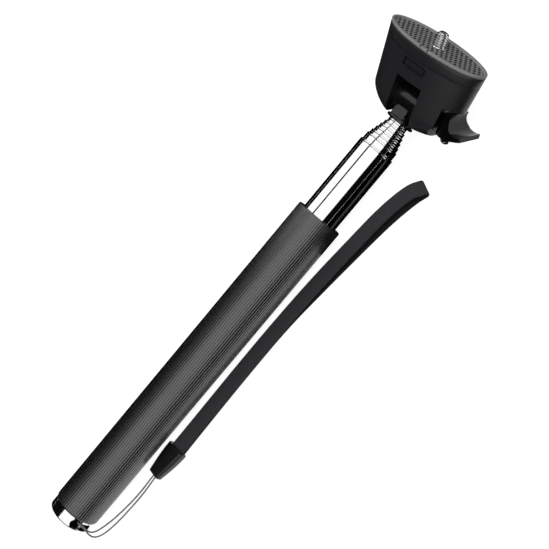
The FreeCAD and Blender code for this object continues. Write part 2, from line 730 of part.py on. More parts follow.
def smooth_path(points):
    """Straight runs joined by tangent arcs, each as large as its two runs allow."""
    edges = []
    radii = []
    start = points[0]
    for before, corner, after in zip(points, points[1:], points[2:]):
        inward = (before - corner).normalize()
        outward = (after - corner).normalize()
        half_turn = (math.pi - inward.getAngle(outward)) / 2
        trim = 0.45 * min((corner - before).Length, (after - corner).Length)
        radii.append(trim / math.tan(half_turn))
        arc_start = corner + inward * trim
        arc_end = corner + outward * trim
        bisector = (inward + outward).normalize()
        middle = corner + bisector * (radii[-1] / math.cos(half_turn) - radii[-1])
        edges.append(Part.LineSegment(start, arc_start).toShape())
        edges.append(Part.Arc(arc_start, middle, arc_end).toShape())
        start = arc_end
    edges.append(Part.LineSegment(start, points[-1]).toShape())
    return Part.Wire(edges), radii


def make_lanyard_cord():
    """One length of cord from the clip, round the bar in the cap and back."""
    path, radii = smooth_path([laid_point(*p) for p in CORD_ROUTE])
    print("lanyard cord: length %.1f mm, smallest radius %.2f mm" % (path.Length, min(radii)))
    start = path.Edges[0]
    circle = Part.Circle(start.valueAt(start.FirstParameter), start.tangentAt(start.FirstParameter),
                         dim("cord_diameter") / 2)
    tube = path.makePipeShell([Part.Wire([circle.toShape()])], True, True)
    section = math.pi * dim("cord_diameter") ** 2 / 4
    print("lanyard cord: volume %.2f mm3, section times length %.2f mm3"
          % (tube.Volume, section * path.Length))
    piece("lanyard_cord", shaped("lanyard_cord", tube), AS_DRAWN)


# Middle line of the strap loop on the table: along and side.
STRAP_LINE = [(66.0, 19.2), (95.0, 18.2), (128.0, 17.8), (160.0, 18.3), (190.0, 20.2), (216.0, 22.9),
              (238.0, 26.3), (255.0, 30.3)]
STRAP_FOLD = (260.5, 32.0)


def strap_band(points, wide, low, high):
    """A band of the strap's width that follows its line, between two heights."""
    path, radii = smooth_path(points)
    start = path.Edges[0]
    origin = start.valueAt(start.FirstParameter)
    across = start.tangentAt(start.FirstParameter).cross(Z_AXIS).normalize() * (wide / 2)
    lift, rise = V(0, 0, low), V(0, 0, high)
    corners = [origin + across + lift, origin + across + rise, origin - across + rise, origin - across + lift]
    frame = Part.makePolygon(corners + corners[:1])
    print("strap line: length %.1f mm, smallest radius %.1f mm" % (path.Length, min(radii)))
    return path.makePipeShell([frame], True, False)


def make_strap():
    """Webbing loop: two layers of one strap, joined by a fold at the far end."""
    width, thick, gap = dim("strap_width"), dim("strap_thickness"), dim("strap_gap")
    points = [V(x, -side, 0) for x, side in STRAP_LINE + [STRAP_FOLD]]
    heading = (points[-1] - points[-2]).normalize()
    outer = strap_band(points, width, 0.0, 2 * thick + gap)
    inner = strap_band(points[:-1] + [points[-1] - heading * thick], 2 * width, thick, thick + gap)
    loop = outer.cut(inner)
    print("strap: volume %.0f mm3" % loop.Volume)
    piece("wrist_strap", shaped("wrist_strap", loop), AS_DRAWN)


# Middles of the clip's two ends: along, side and height.
CLIP_NECK = (50.0, 18.6, 3.7)
CLIP_MOUTH = (CLIP_NECK[0] + dim("clip_length"), 19.4, 4.5)


def make_clip():
    """Tapered moulded clip: cord in its narrow end, both strap layers in its mouth."""
    lean = FreeCAD.Rotation(X_AXIS, dim("clip_lean"))

    def end_frame(along, side, height, wide, high):
        centre = V(along, -side, height)
        corners = [centre + lean.multVec(V(0, y * wide / 2, z * high / 2))
                   for y, z in ((1, 1), (-1, 1), (-1, -1), (1, -1))]
        return Part.makePolygon(corners + corners[:1])

    near = end_frame(*CLIP_NECK, dim("clip_neck"), dim("clip_neck_height"))
    far = end_frame(*CLIP_MOUTH, dim("clip_mouth"), dim("clip_height"))
    solid = Part.makeLoft([near, far], True, True)
    long_edges = [edge for edge in solid.Edges if edge.Length > dim("clip_length") - MARGIN]
    softened = solid.makeFillet(dim("clip_rounding"), long_edges)
    piece("strap_clip", shaped("strap_clip", softened), AS_DRAWN)


make_lanyard_cord()
make_strap()
make_clip()


# ------------------------------------------------------------------ check, place and write

def check(thing):
    if "Invalid" in thing.State or "Error" in thing.State:
        sys.exit("%s failed: %s" % (thing.Name, thing.State))


doc.recompute()
for thing in doc.Objects:
    check(thing)

CORD_PIECES = ("lanyard_cord", "wrist_strap", "strap_clip")
for thing, place in pieces:
    thing.Placement = place.multiply(thing.Placement)
doc.recompute()

rigid = FreeCAD.BoundBox()
for thing, place in pieces:
    if thing.Label not in CORD_PIECES:
        rigid.add(thing.Shape.optimalBoundingBox(False, False))
shift = FreeCAD.Placement(V(-rigid.Center.x, -rigid.Center.y, 0), FreeCAD.Rotation())
print("rigid box %.2f x %.2f x %.2f, lowest %.3f, cap end at x %.3f, axis at y %.3f"
      % (rigid.XLength, rigid.YLength, rigid.ZLength, rigid.ZMin, shift.Base.x, shift.Base.y))

for thing, place in pieces:
    thing.Placement = shift.multiply(thing.Placement)
doc.recompute()

for thing, place in pieces:
    check(thing)
    shape = thing.Shape
    if shape.isNull() or not shape.isValid() or shape.Volume <= 0:
        sys.exit("%s has a bad shape" % thing.Label)
    shape.exportStep("parts/%s.step" % thing.Label)
    limits = shape.optimalBoundingBox(False, False)
    print("%-18s solids %d volume %8.1f  x %.2f..%.2f  y %.2f..%.2f  z %.2f..%.2f"
          % (thing.Label, len(shape.Solids), shape.Volume, limits.XMin, limits.XMax,
             limits.YMin, limits.YMax, limits.ZMin, limits.ZMax))
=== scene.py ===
import json
import math

import bmesh
import bpy
from mathutils import Matrix, Vector


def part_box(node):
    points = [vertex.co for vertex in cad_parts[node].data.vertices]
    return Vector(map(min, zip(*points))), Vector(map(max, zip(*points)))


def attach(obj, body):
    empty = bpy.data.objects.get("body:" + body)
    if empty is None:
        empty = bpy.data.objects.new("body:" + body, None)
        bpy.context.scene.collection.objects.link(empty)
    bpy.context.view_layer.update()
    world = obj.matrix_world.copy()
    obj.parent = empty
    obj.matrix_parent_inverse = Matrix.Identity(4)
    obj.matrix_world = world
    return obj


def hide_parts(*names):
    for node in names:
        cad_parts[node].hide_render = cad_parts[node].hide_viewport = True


# A telescopic selfie stick lying on a pale table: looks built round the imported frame.
# Lengths are written in millimetres and turned into metres by MM.

MM = 0.001
TURN = 2 * math.pi

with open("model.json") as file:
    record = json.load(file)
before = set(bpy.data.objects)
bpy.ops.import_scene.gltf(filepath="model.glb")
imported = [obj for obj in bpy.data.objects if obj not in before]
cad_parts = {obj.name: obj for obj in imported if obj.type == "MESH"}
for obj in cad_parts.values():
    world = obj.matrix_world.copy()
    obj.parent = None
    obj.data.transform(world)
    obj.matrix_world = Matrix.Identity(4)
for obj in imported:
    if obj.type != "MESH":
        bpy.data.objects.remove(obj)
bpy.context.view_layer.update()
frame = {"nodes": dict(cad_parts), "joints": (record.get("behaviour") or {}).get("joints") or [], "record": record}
joints = {joint["name"]: joint for joint in frame["joints"]}
mounts = {mount["name"]: mount for mount in frame["record"]["mounts"]}

GRIP_LOW, GRIP_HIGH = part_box("grip_sleeve")
CAP_LOW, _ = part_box("end_cap")
STICK_Y = (GRIP_LOW.y + GRIP_HIGH.y) / 2
STICK_Z = (GRIP_LOW.z + GRIP_HIGH.z) / 2

# The stick's own frame: Z along the stick from the end cap, X to the lever side.
STICK = Matrix(((0, 0, 1, CAP_LOW.x), (-1, 0, 0, STICK_Y), (0, -1, 0, STICK_Z), (0, 0, 0, 1)))

# The head's own frame about the tilt axis: Z to the pad, X to the lever side, Y to the back.
HEAD_UP = Vector(mounts["camera_screw"]["axis"])
LEVER_SIDE = Vector(joints["head_tilt"]["axis"])
HEAD_BACK = HEAD_UP.cross(LEVER_SIDE)
TILT_POINT = Vector(joints["head_tilt"]["pos_m"])
HEAD = Matrix((LEVER_SIDE, HEAD_BACK, HEAD_UP)).transposed().to_4x4()
HEAD.translation = TILT_POINT


# ------------------------------------------------------------------ camera

CAMERA_AT = Vector((82.9, -272.0, 486.4)) * MM
LOOK = Vector((-0.1269, 0.4976, -0.8581))
CAMERA_UP = Vector((0.7612, 0.6035, 0.2374))
LENS = 68.14


def make_camera():
    """The camera stands above the lever side and looks down along the stick."""
    data = bpy.data.cameras.new("camera")
    data.lens = LENS
    data.sensor_width = 36
    data.clip_start = 0.01
    camera = bpy.data.objects.new("camera", data)
    bpy.context.scene.collection.objects.link(camera)
    back = -LOOK.normalized()
    right = CAMERA_UP.cross(back).normalized()
    up = back.cross(right)
    camera.matrix_world = Matrix.Translation(CAMERA_AT) @ Matrix((right, up, back)).transposed().to_4x4()
    bpy.context.scene.camera = camera


make_camera()


# ------------------------------------------------------------------ mesh helpers

def on_circle(count):
    """The cosine and sine of evenly spaced angles round a circle."""
    return [(math.cos(TURN * n / count), math.sin(TURN * n / count)) for n in range(count)]


def quarter(radius, steps):
    """A quarter circle, as (sine, cosine) pairs that start at the cosine's end."""
    angles = [step / steps * math.pi / 2 for step in range(steps + 1)]
    return [(radius * math.sin(angle), radius * math.cos(angle)) for angle in angles]


def add_object(name, data):
    """An object in the scene for a mesh or a curve."""
    thing = bpy.data.objects.new(name, data)
    bpy.context.scene.collection.objects.link(thing)
    return thing


def add_mesh(name, points, faces, place=Matrix(), smooth=True):
    """A mesh from points in millimetres, moved into the row frame."""
    mesh = bpy.data.meshes.new(name)
    mesh.from_pydata([place @ (Vector(p) * MM) for p in points], [], faces)
    mesh.validate()
    mesh.update()
    build = bmesh.new()
    build.from_mesh(mesh)
    bmesh.ops.recalc_face_normals(build, faces=build.faces)
    build.to_mesh(mesh)
    build.free()
    for face in mesh.polygons:
        face.use_smooth = smooth
    return add_object(name, mesh)


def grid_faces(rows, columns, close_rows=False, close_columns=True):
    """Quads between points laid out row by row."""
    faces = []
    for row in range(rows if close_rows else rows - 1):
        for column in range(columns if close_columns else columns - 1):
            below, above = row * columns, (row + 1) % rows * columns
            after = (column + 1) % columns
            faces.append((below + column, below + after, above + after, above + column))
    return faces


def with_caps(faces, rows, columns):
    """Closes the first and last ring of a loft."""
    first = tuple(range(columns))[::-1]
    last = tuple(range((rows - 1) * columns, rows * columns))
    return faces + [first, last]


def lathe(name, profile, place, segments=128, radius_at=None):
    """A closed profile of (height, radius) turned about Z."""
    points = []
    for height, radius in profile:
        for step in range(segments):
            angle = TURN * step / segments
            reach = radius_at(height, radius, angle) if radius_at else radius
            points.append((reach * math.cos(angle), reach * math.sin(angle), height))
    return add_mesh(name, points, grid_faces(len(profile), segments, close_rows=True), place)


def loft(name, rings, place):
    """A solid through rings that have the same number of points."""
    points = [p for ring in rings for p in ring]
    faces = with_caps(grid_faces(len(rings), len(rings[0])), len(rings), len(rings[0]))
    return add_mesh(name, points, faces, place)


def block(name, low, high, place):
    """A box between two corners, in millimetres."""
    corners = [(x, y, z) for z in (low[2], high[2])
               for x, y in ((low[0], low[1]), (high[0], low[1]), (high[0], high[1]), (low[0], high[1]))]
    return add_mesh(name, corners, with_caps(grid_faces(2, 4), 2, 4), place, smooth=False)


def settle(thing):
    """Applies the modifiers of an object to its mesh."""
    graph = bpy.context.evaluated_depsgraph_get()
    mesh = bpy.data.meshes.new_from_object(thing.evaluated_get(graph))
    thing.modifiers.clear()
    thing.data = mesh
    return thing


def remove(thing):
    """Takes a helper object out again."""
    bpy.data.objects.remove(thing)


def carve(thing, tools, operation="DIFFERENCE"):
    """Cuts tools out of a mesh, or joins them to it."""
    for tool in tools:
        step = thing.modifiers.new("carve", "BOOLEAN")
        step.operation = operation
        step.solver = "EXACT"
        step.object = tool
        settle(thing)
        remove(tool)
    return thing


def soften(thing, width, segments=3, angle=32):
    """Rounds the sharp edges of a mesh."""
    step = thing.modifiers.new("soften", "BEVEL")
    step.width = width * MM
    step.segments = segments
    step.limit_method = "ANGLE"
    step.angle_limit = math.radians(angle)
    step.harden_normals = True
    for face in thing.data.polygons:
        face.use_smooth = True
    return settle(thing)


# ------------------------------------------------------------------ materials

def new_material(name, colour, roughness, metallic=0.0, sheen=0.0, ior=1.5):
    """A principled material and its nodes; constants sit on the shader's own sockets."""
    material = bpy.data.materials.new(name)
    material.use_nodes = True
    nodes, links = material.node_tree.nodes, material.node_tree.links
    shader = nodes["Principled BSDF"]
    shader.inputs["Base Color"].default_value = (*colour, 1)
    shader.inputs["Roughness"].default_value = roughness
    shader.inputs["Metallic"].default_value = metallic
    shader.inputs["Sheen Weight"].default_value = sheen
    shader.inputs["IOR"].default_value = ior
    return material, nodes, links, shader


def object_space(nodes, links, scale):
    """Coordinates in metres on the object, scaled along its axes."""
    place = nodes.new("ShaderNodeTexCoord")
    mapping = nodes.new("ShaderNodeMapping")
    mapping.inputs["Scale"].default_value = scale
    links.new(place.outputs["Object"], mapping.inputs["Vector"])
    return mapping.outputs["Vector"]


def attribute_of(nodes, name):
    """A mesh attribute that the pieces carry for their own material."""
    attribute = nodes.new("ShaderNodeAttribute")
    attribute.attribute_name = name
    return attribute


def noise_of(nodes, links, space, detail):
    """Noise at the scale of its coordinates."""
    noise = nodes.new("ShaderNodeTexNoise")
    noise.inputs["Scale"].default_value = 1.0
    noise.inputs["Detail"].default_value = detail
    links.new(space, noise.inputs["Vector"])
    return noise.outputs["Fac"]


def spread(nodes, links, source, low, high):
    """Maps a factor to a range of values."""
    ranged = nodes.new("ShaderNodeMapRange")
    ranged.inputs["To Min"].default_value = low
    ranged.inputs["To Max"].default_value = high
    links.new(source, ranged.inputs["Value"])
    return ranged.outputs["Result"]


def blend_colours(nodes, links, factor, first, second):
    """Goes from the first colour to the second; the first may be another node's output."""
    mix = nodes.new("ShaderNodeMix")
    mix.data_type = "RGBA"
    if isinstance(first, tuple):
        mix.inputs[6].default_value = (*first, 1)
    else:
        links.new(first, mix.inputs[6])
    mix.inputs[7].default_value = (*second, 1)
    links.new(factor, mix.inputs[0])
    return mix.outputs[2]


def bump_from(nodes, links, shader, height, distance, strength=1.0):
    """Relief on the surface, with its depth in metres."""
    bump = nodes.new("ShaderNodeBump")
    bump.inputs["Distance"].default_value = distance
    bump.inputs["Strength"].default_value = strength
    links.new(height, bump.inputs["Height"])
    links.new(bump.outputs["Normal"], shader.inputs["Normal"])


def grained(name, colour, roughness, grain, depth, lighter=1.35, spread_by=0.06, ior=1.5):
    """Moulded plastic or rubber: a fine grain, a slow drift of colour and of gloss."""
    material, nodes, links, shader = new_material(name, colour, roughness, ior=ior)
    fine = noise_of(nodes, links, object_space(nodes, links, (grain,) * 3), detail=2.0)
    slow = noise_of(nodes, links, object_space(nodes, links, (60,) * 3), detail=4.0)
    bright = tuple(min(1.0, c * lighter) for c in colour)
    links.new(blend_colours(nodes, links, slow, colour, bright), shader.inputs["Base Color"])
    links.new(spread(nodes, links, slow, roughness - spread_by, roughness + spread_by),
              shader.inputs["Roughness"])
    bump_from(nodes, links, shader, fine, depth)
    return material


def plated(name, colour, roughness, drawn):
    """Bright plating with faint drawing marks along one axis and a trace of handling."""
    material, nodes, links, shader = new_material(name, colour, roughness, metallic=1.0)
    marks = noise_of(nodes, links, object_space(nodes, links, drawn), detail=3.0)
    slow = noise_of(nodes, links, object_space(nodes, links, (45,) * 3), detail=5.0)
    links.new(spread(nodes, links, slow, roughness * 0.6, roughness * 1.5), shader.inputs["Roughness"])
    dull = tuple(c * 0.94 for c in colour)
    links.new(blend_colours(nodes, links, slow, colour, dull), shader.inputs["Base Color"])
    bump_from(nodes, links, shader, marks, 1.5e-6, 0.35)
    return material


CHROME = plated("chrome", (0.93, 0.935, 0.94), 0.045, (12, 2500, 2500))
CAP_CHROME = plated("cap_chrome", (0.90, 0.905, 0.91), 0.09, (2500, 500, 500))
STUD_STEEL = plated("stud_steel", (0.80, 0.80, 0.81), 0.16, (900, 900, 900))
PLAIN_STEEL = plated("plain_steel", (0.55, 0.55, 0.56), 0.32, (900, 900, 900))
BLACK_STEEL = plated("black_steel", (0.03, 0.03, 0.031), 0.35, (900, 900, 900))
BUSH_BRASS = plated("bush_brass", (0.72, 0.56, 0.28), 0.28, (60, 1500, 1500))
HEAD_PLASTIC = grained("head_plastic", (0.013, 0.013, 0.016), 0.40, 6500, 1.2e-5, spread_by=0.04)
COVER_PLASTIC = grained("cover_plastic", (0.012, 0.012, 0.015), 0.40, 6500, 1.2e-5, spread_by=0.04)
KNUCKLE_PLASTIC = grained("knuckle_plastic", (0.006, 0.006, 0.0065), 0.2, 2600, 3e-6, spread_by=0.04)
LEVER_PLASTIC = grained("lever_plastic", (0.004, 0.004, 0.005), 0.22, 6500, 1.0e-5, spread_by=0.04,
                        ior=1.3)
CLIP_PLASTIC = grained("clip_plastic", (0.004, 0.004, 0.0045), 0.33, 5200, 1.0e-5, spread_by=0.04)
PAD_RIM_RUBBER = grained("pad_rim", (0.40, 0.40, 0.405), 0.5, 5200, 2e-5, lighter=1.3)
NYLON = grained("nylon", (0.5, 0.5, 0.48), 0.45, 3000, 5e-6, lighter=1.1)


def finish_with(thing, material):
    """One material all over a piece."""
    thing.data.materials.clear()
    thing.data.materials.append(material)
    return thing


def fit(thing, body, slot, material, *nodes):
    """Gives a finished piece its material, its body and the CAD nodes that it stands for."""
    finish_with(thing, material)
    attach(thing, body)
    if nodes:
        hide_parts(*nodes)
    return thing


# ------------------------------------------------------------------ lanyard, strap and clip

# The lanyard's route: along the stick from the cap end, out from its axis on the lever
# side, and height above the table.
CORD_ROUTE = [
    (50.5, 18.4, 4.4), (44.5, 17.9, 3.2), (37.5, 17.5, 1.6), (29.5, 17.0, 1.1), (22.0, 16.6, 1.6),
    (15.0, 16.3, 2.9), (9.0, 15.9, 4.9), (4.6, 15.5, 7.4), (2.4, 14.6, 10.2), (2.6, 12.7, 12.9),
    (3.2, 10.6, 14.0), (3.7, 8.6, 14.9), (3.8, 8.0, 16.4), (3.9, 8.6, 17.7), (4.0, 10.0, 18.1),
    (4.1, 11.6, 17.4), (3.6, 13.2, 15.6), (2.0, 15.6, 12.6), (1.6, 17.4, 9.2), (4.4, 18.7, 6.2),
    (9.6, 19.1, 4.0), (16.0, 19.2, 2.5), (23.0, 19.1, 1.5), (30.5, 19.1, 1.1), (38.0, 19.4, 1.7),
    (44.5, 19.7, 3.2), (50.5, 19.9, 4.4),
]
CORD_WIDE = 1.0
CORD_LAY = 2.4
STRANDS = 3
STRAND_WAIST = 0.72

# The strap's line: along the stick and out from its axis. Each layer lies beside that line,
# by its own shifts.
STRAP_LINE = [(66.0, 19.2), (95.0, 18.2), (128.0, 17.8), (160.0, 18.3), (190.0, 20.2), (216.0, 22.9),
              (238.0, 26.3), (255.0, 30.3), (260.5, 32.0)]
OVER_SHIFT = [0.6, 1.1, 0.8, 0.2, -1.0, -1.9, -3.8, -4.3, -2.0]
UNDER_SHIFT = [0.0, 0.0, -0.4, -1.1, -0.6, -1.0, -2.1, -2.6, -2.0]
STRAP_WIDE = 8.6
STRAP_THICK = 1.1
STRAP_GAP = 3.0
STRAP_LEAN = 7.0
LEAN_FINISH = 200.0
LIFT, LIFT_LENGTH = 1.7, 140
FOLD_PAST = 1.4
SELVEDGE = 0.35
TWILL_PITCH, RIB_PITCH = 0.9, 0.55


def laid(along, side, height):
    """A point on the table beside the stick, in metres."""
    return Vector((CAP_LOW.x + along * MM, STICK_Y - side * MM, height * MM))


def distances(line):
    """How far along a line each of its points lies."""
    travelled = [0.0]
    for a, b in zip(line, line[1:]):
        travelled.append(travelled[-1] + (b - a).length)
    return travelled


def length_of(line):
    """The whole length of a line, in metres."""
    return distances(line)[-1]


def smooth_line(name, route, resolution):
    """Points along a NURBS spline whose control points are the route."""
    curve = bpy.data.curves.new(name, "CURVE")
    curve.dimensions = "3D"
    spline = curve.splines.new("NURBS")
    spline.points.add(len(route) - 1)
    for point, place in zip(spline.points, route):
        point.co = (*place, 1)
    spline.order_u = 3
    spline.use_endpoint_u = True
    spline.resolution_u = resolution
    thing = add_object(name, curve)
    mesh = bpy.data.meshes.new_from_object(thing.evaluated_get(bpy.context.evaluated_depsgraph_get()))
    line = [vertex.co.copy() for vertex in mesh.vertices]
    bpy.data.meshes.remove(mesh)
    remove(thing)
    return line


def sweep(name, line, section_at):
    """A tube whose section follows a line; section_at gives offsets for a place along it."""
    rings = []
    total = length_of(line)
    across = Vector((0, 0, 1)).cross(line[1] - line[0]).normalized()
    for index, (place, travelled) in enumerate(zip(line, distances(line))):
        ahead = line[min(index + 1, len(line) - 1)] - line[max(index - 1, 0)]
        heading = ahead.normalized()
        across = (across - heading * across.dot(heading)).normalized()
        up = heading.cross(across)
        section = section_at(travelled, total, place)
        rings.append([(place + across * a + up * b) / MM for a, b in section])
    return loft(name, rings, Matrix())


def make_lanyard():
    """A laid cord: three strands twisted together."""
    line = smooth_line("lanyard_line", [laid(*p) for p in CORD_ROUTE], 24)
    around = 18

    def section(travelled, total, place):
        twist = travelled / (CORD_LAY * MM) * TURN
        ring = []
        for step in range(around):
            angle = TURN * step / around
            lobe = abs(math.cos(STRANDS / 2 * (angle - twist)))
            reach = CORD_WIDE / 2 * (STRAND_WAIST + (1 - STRAND_WAIST) * lobe) * MM
            ring.append((reach * math.cos(angle), reach * math.sin(angle)))
        return ring

    cord = sweep("lanyard", line, section)
    return fit(cord, "handle", "cord_grey", lanyard_material(), "lanyard_cord"), line


def lanyard_material():
    """Grey fibres, lighter and darker along the strands."""
    material, nodes, links, shader = new_material("lanyard_cord", (0.2, 0.2, 0.2), 0.55, sheen=0.25)
    fibres = noise_of(nodes, links, object_space(nodes, links, (3200,) * 3), detail=2.0)
    links.new(blend_colours(nodes, links, fibres, (0.16, 0.16, 0.16), (0.7, 0.7, 0.7)),
              shader.inputs["Base Color"])
    bump_from(nodes, links, shader, fibres, 6e-5)
    return material


def webbing_material():
    """Woven tape: ribs across the strap, a fine twill, a little sheen, and painted shade that darkens the lower
    layer.
    """
    material, nodes, links, shader = new_material("webbing", (0.03, 0.03, 0.034), 0.8, sheen=0.12)
    shape = nodes.new("ShaderNodeSeparateXYZ")
    links.new(attribute_of(nodes, "weave_and_shade").outputs["Vector"], shape.inputs["Vector"])

    def calculate(operation, first, second=None):
        step = nodes.new("ShaderNodeMath")
        step.operation = operation
        links.new(first, step.inputs[0])
        if isinstance(second, float):
            step.inputs[1].default_value = second
        elif second is not None:
            links.new(second, step.inputs[1])
        return step.outputs[0]

    def wave(source, pitch):
        return calculate("SINE", calculate("MULTIPLY", source, TURN / pitch))

    slanted = calculate("ADD", shape.outputs["X"], shape.outputs["Y"])
    twill = calculate("MULTIPLY", wave(slanted, TWILL_PITCH), wave(shape.outputs["Y"], RIB_PITCH))
    yarn = blend_colours(nodes, links, spread(nodes, links, twill, 0.5, 1.0),
                         (0.020, 0.020, 0.024), (0.044, 0.044, 0.051))
    # Painted shade: the lower layer, under the upper one, goes towards black.
    links.new(blend_colours(nodes, links, shape.outputs["Z"], yarn, (0.003, 0.003, 0.0035)),
              shader.inputs["Base Color"])
    bump_from(nodes, links, shader, twill, 8e-5)
    return material


def webbing_outline():
    """The strap's section: flat faces and thinner, rounded selvedges."""
    half_wide, half_thick = STRAP_WIDE / 2, STRAP_THICK / 2
    flat = half_wide - SELVEDGE
    edge = [(flat, half_thick), (half_wide, half_thick * 0.55), (half_wide, -half_thick * 0.55),
            (flat, -half_thick)]
    steps = 12
    upper = [(flat - (STRAP_WIDE - 2 * SELVEDGE) * n / steps, half_thick) for n in range(1, steps)]
    return (edge[:1] + upper + [(-x, y) for x, y in edge] + [(-x, -y) for x, y in upper]
            + edge[:0:-1])


def make_strap():
    """One length of webbing: out on the table, over at the far end and back on top."""
    start = STRAP_LINE[0][0]
    low = STRAP_THICK / 2
    high = STRAP_THICK * 1.5 + STRAP_GAP

    def rise(along):
        """The clip holds both layers a little off the table."""
        return LIFT * max(0.0, 1 - (along - start) / LIFT_LENGTH)

    def layer(shifts, height, share):
        return [laid(along, side + shift, height + share * rise(along))
                for (along, side), shift in zip(STRAP_LINE, shifts)]

    end_along, end_side = STRAP_LINE[-1]
    fold = [laid(end_along + FOLD_PAST, end_side - FOLD_PAST, height)
            for height in (low + 0.9, high - 0.9)]
    route = layer(UNDER_SHIFT, low, 1.0) + fold + layer(OVER_SHIFT, high, 0.3)[::-1]
    line = smooth_line("strap_line", route, 16)
    ring = webbing_outline()

    def section(travelled, total, place):
        along = (place.x - CAP_LOW.x) / MM
        share = max(0.0, 1 - (along - start) / (LEAN_FINISH - start))
        lean = math.radians(STRAP_LEAN) * share
        if travelled > total / 2:
            lean = -lean
        c, s = math.cos(lean), math.sin(lean)
        return [((x * c - y * s) * MM, (x * s + y * c) * MM) for x, y in ring]

    strap = sweep("wrist_strap_webbing", line, section)
    weave_and_shade = strap.data.attributes.new("weave_and_shade", "FLOAT_VECTOR", "POINT")
    values = []
    for index, travelled in enumerate(distances(line)):
        # This is 1 on the lower layer and sets the painted shade there.
        under = 1.0 if index < len(line) / 2 else 0.0
        for x, _ in ring:
            values += [x, travelled / MM, under]
    weave_and_shade.data.foreach_set("vector", values)
    fit(strap, "handle", "webbing_black", webbing_material(), "wrist_strap")
    return strap, line


CLIP_START, CLIP_LENGTH = 50.0, 20.0


def make_clip():
    """A tapered moulded clip, nearly square in section, that leans with the strap."""
    stations, around = 9, 40
    turn = Matrix.Rotation(math.radians(-STRAP_LEAN), 3, "X")
    rings = []
    for n in range(stations):
        share = n / (stations - 1)
        bulge = math.sin(share * math.pi / 2)
        half_wide, half_high = (8.0 + 4.4 * bulge) / 2, (4.6 + 1.4 * bulge) / 2
        ring = []
        for c, s in on_circle(around):
            reach = (abs(c) ** 5 + abs(s) ** 5) ** -0.2
            offset = turn @ Vector((0, c * reach * half_wide, s * reach * half_high))
            ring.append(laid(CLIP_START + CLIP_LENGTH * share, 18.6 + 0.8 * share - offset.y,
                             4.0 + 0.5 * share + offset.z) / MM)
        rings.append(ring)
    return soften(loft("clip", rings, Matrix()), 0.35)


cord, cord_line = make_lanyard()
strap, strap_line = make_strap()
clip = fit(make_clip(), "handle", "black_plastic", CLIP_PLASTIC, "strap_clip")


# ------------------------------------------------------------------ grip

FLUTES = 56
FLUTE_DEPTH = 0.2
GRIP_BORE, GRIP_LIP = 10.5, 0.9
GROOVE_POWER = 0.3


def groove_at(angle):
    """0 on a ridge and 1 at the bottom of a groove, which is narrow beside the ridges."""
    return 1 - abs(math.sin(FLUTES / 2 * angle)) ** GROOVE_POWER


def span_of(low, high):
    """Where a turned node starts and ends along the stick, and its radius, in millimetres."""
    return (low.x - CAP_LOW.x) / MM, (high.x - CAP_LOW.x) / MM, (high.z - low.z) / 2 / MM


def make_grip():
    """The sleeve: flutes run its whole length and fade into rounded ends."""
    start, finish, radius = span_of(GRIP_LOW, GRIP_HIGH)
    profile = [(start, GRIP_BORE), (start, radius - GRIP_LIP), (start + 0.08, radius - 0.55),
               (start + 0.3, radius - 0.22), (start + 0.7, radius), (start + 1.6, radius),
               (finish - 1.0, radius), (finish - 0.4, radius), (finish - 0.12, radius - 0.16),
               (finish, radius - 0.5), (finish, GRIP_BORE)]

    def fluted(height, reach, angle):
        return reach if reach < radius - 0.4 else reach - FLUTE_DEPTH * groove_at(angle)

    segments = FLUTES * 12
    grip = lathe("grip", profile, STICK, segments=segments, radius_at=fluted)
    # The groove attribute carries the painted shade of the grooves into the colour.
    grooves = grip.data.attributes.new("groove", "FLOAT", "POINT")
    around = [groove_at(TURN * n / segments) for n in range(segments)]
    grooves.data.foreach_set("value", around * len(profile))
    fit(grip, "handle", "grip_rubber", grip_material(), "grip_sleeve")


def grip_material():
    """Satin rubber, with painted shade that darkens it down in its grooves."""
    material, nodes, links, shader = new_material("grip_rubber", (0.03, 0.03, 0.033), 0.3, ior=2.1)
    depth = attribute_of(nodes, "groove")
    slow = noise_of(nodes, links, object_space(nodes, links, (25, 90, 90)), detail=4.0)
    fine = noise_of(nodes, links, object_space(nodes, links, (4200,) * 3), detail=2.0)
    ridge = blend_colours(nodes, links, slow, (0.008, 0.008, 0.0095), (0.015, 0.015, 0.017))
    # Painted shade: the colour goes darker towards the bottom of each groove.
    links.new(blend_colours(nodes, links, depth.outputs["Fac"], ridge, (0.004, 0.004, 0.005)),
              shader.inputs["Base Color"])
    links.new(spread(nodes, links, slow, 0.21, 0.27), shader.inputs["Roughness"])
    bump_from(nodes, links, shader, fine, 1.5e-5)
    return material


make_grip()


# ------------------------------------------------------------------ telescopic tubes

TUBES = 7
RIM_ROLL = 0.35
RIM_GROOVE = 0.12
TUBE_WALL = 0.5
TUBE_GAP = 0.04


def make_tube(number):
    """A chromed tube with a rolled rim and a fine groove behind it, closed in to the next tube."""
    node = "tube_%d" % number
    start, finish, radius = span_of(*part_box(node))
    mouth = radius - TUBE_WALL
    if number < TUBES:
        mouth = span_of(*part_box("tube_%d" % (number + 1)))[2] + TUBE_GAP
    profile = [(start, radius - TUBE_WALL), (start, radius - 0.1), (start + 0.1, radius),
               (start + 0.4, radius), (finish - 1.6, radius), (finish - 1.25, radius),
               (finish - 1.2, radius - RIM_GROOVE), (finish - 0.95, radius - RIM_GROOVE),
               (finish - 0.9, radius), (finish - 0.7, radius)]
    profile += [(finish - RIM_ROLL + out, radius - RIM_ROLL + up) for out, up in quarter(RIM_ROLL, 6)]
    profile += [(finish, mouth + 0.1), (finish - 0.1, mouth), (finish - 0.8, mouth),
                (finish - 0.9, radius - TUBE_WALL)]
    body = "handle" if number == 1 else "section_%d" % number
    fit(lathe("chrome_" + node, profile, STICK, segments=160), body, "tube_chrome", CHROME, node)


for number in range(1, TUBES + 1):
    make_tube(number)


# ------------------------------------------------------------------ head

